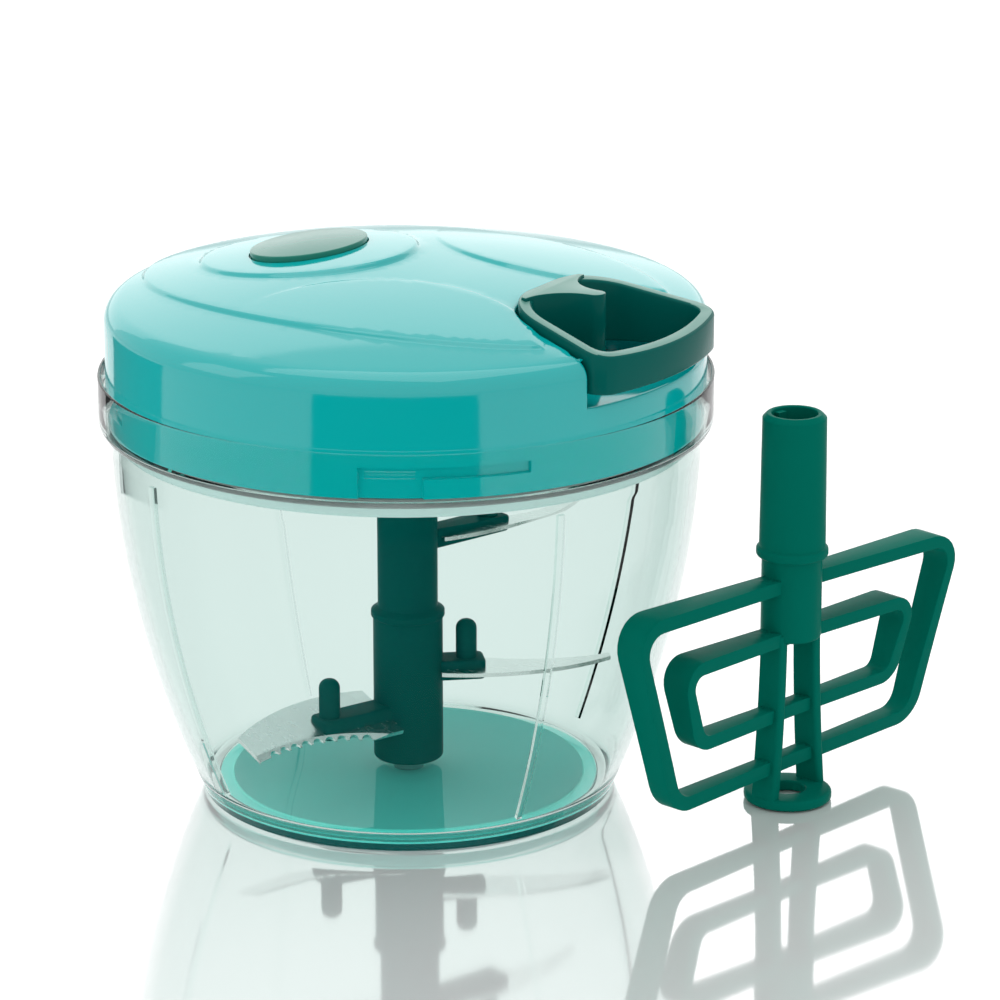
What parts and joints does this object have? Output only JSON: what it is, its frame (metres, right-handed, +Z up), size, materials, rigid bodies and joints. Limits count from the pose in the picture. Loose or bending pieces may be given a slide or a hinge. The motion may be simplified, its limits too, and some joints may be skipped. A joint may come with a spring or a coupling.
{
  "type": "manual pull cord food chopper",
  "caption": "Hand food chopper: a clear bowl, a domed lid with a finger handle on a sprung cord reel, a one way drive to a turning unit of curved steel blades, and a loose whisk insert.",
  "frame": {"origin": "middle of the non slip pad's underside, on the table", "axes": "+Z up along the bowl's axis, +X the way the handle is pulled"},
  "size_m": [0.1803, 0.1683, 0.1346],
  "materials": {
    "clear_plastic": "clear, polished",
    "teal_rubber": "matt",
    "pin_steel": "ground",
    "green_plastic": "gloss",
    "blade_steel": "polished",
    "seal_silicone": "satin",
    "turquoise_plastic": "gloss",
    "pale_plastic": "satin",
    "screw_steel": "zinc plated",
    "spring_steel": "blued",
    "cord_fibre": "braided",
    "reel_plastic": "matt",
    "drive_plastic": "satin"
  },
  "bodies": {
    "bowl": {"bowl": "clear_plastic", "base_pad": "teal_rubber", "pivot_pin": "pin_steel"},
    "seal": {"lid_seal": "seal_silicone"},
    "lid": {"lid_shell": "turquoise_plastic", "oval_insert": "green_plastic", "under_plate": "pale_plastic", "cover_screws": "screw_steel", "spring_plate": "screw_steel", "spring_screws": "screw_steel", "mainspring": "spring_steel", "reel_axle": "pin_steel", "cord_eyelet": "screw_steel"},
    "handle": {"pull_handle": "green_plastic", "cord_knot": "cord_fibre", "pull_cord": "cord_fibre"},
    "reel": {"cord_reel": "reel_plastic", "cord_winding": "cord_fibre"},
    "pawl_a": {"pawl_front": "screw_steel"},
    "pawl_b": {"pawl_back": "screw_steel"},
    "drive": {"drive_spindle": "drive_plastic", "spindle_clip": "spring_steel"},
    "blades": {"blade_spindle": "green_plastic", "blade_top": "blade_steel", "blade_middle": "blade_steel", "blade_bottom": "blade_steel"},
    "whisk": {"whisk": "green_plastic"}
  },
  "joints": [
    {"name": "lid_lift", "type": "slide", "parent": "bowl", "child": "seal", "axis": [0, 0, 1], "range_m": [0, 0.12]},
    {"name": "lid_twist", "type": "hinge", "parent": "seal", "child": "lid", "pos_m": [0, 0, 0.1], "axis": [0, 0, -1], "range_deg": [0, 18]},
    {"name": "handle_pull", "type": "slide", "parent": "lid", "child": "handle", "axis": [1, 0, 0], "range_m": [0, 0.32], "stiffness_N_per_m": 22, "springref_m": -0.23, "deforming": ["pull_cord"]},
    {"name": "reel_spin", "type": "hinge", "parent": "lid", "child": "reel", "pos_m": [0, 0, 0.118], "axis": [0, 0, 1], "range_deg": [0, 1020]},
    {"name": "pawl_front_swing", "type": "hinge", "parent": "reel", "child": "pawl_a", "pos_m": [0.01093, -0.01302, 0.11], "axis": [0, 0, -1], "range_deg": [0, 12], "stiffness_Nm_per_rad": 0.002, "springref_deg": -11.46},
    {"name": "pawl_back_swing", "type": "hinge", "parent": "reel", "child": "pawl_b", "pos_m": [-0.01093, 0.01302, 0.11], "axis": [0, 0, -1], "range_deg": [0, 12], "stiffness_Nm_per_rad": 0.002, "springref_deg": -11.46},
    {"name": "drive_spin", "type": "hinge", "parent": "lid", "child": "drive", "pos_m": [0, 0, 0.105], "axis": [0, 0, 1], "range_deg": [0, 1020]},
    {"name": "blade_spin", "type": "hinge", "parent": "bowl", "child": "blades", "pos_m": [0, 0, 0.02], "axis": [0, 0, 1], "range_deg": [0, 1020]},
    {"name": "whisk_slide", "type": "slide", "parent": "bowl", "child": "whisk", "axis": [0.8387, 0.5446, 0], "range_m": [0, 0.1]}
  ],
  "couplings": [
    {"joint": "reel_spin", "follows": "handle_pull", "rad_per_m": 55.556},
    {"joint": "drive_spin", "follows": "handle_pull", "rad_per_m": 55.556},
    {"joint": "blade_spin", "follows": "handle_pull", "rad_per_m": 55.556}
  ]
}
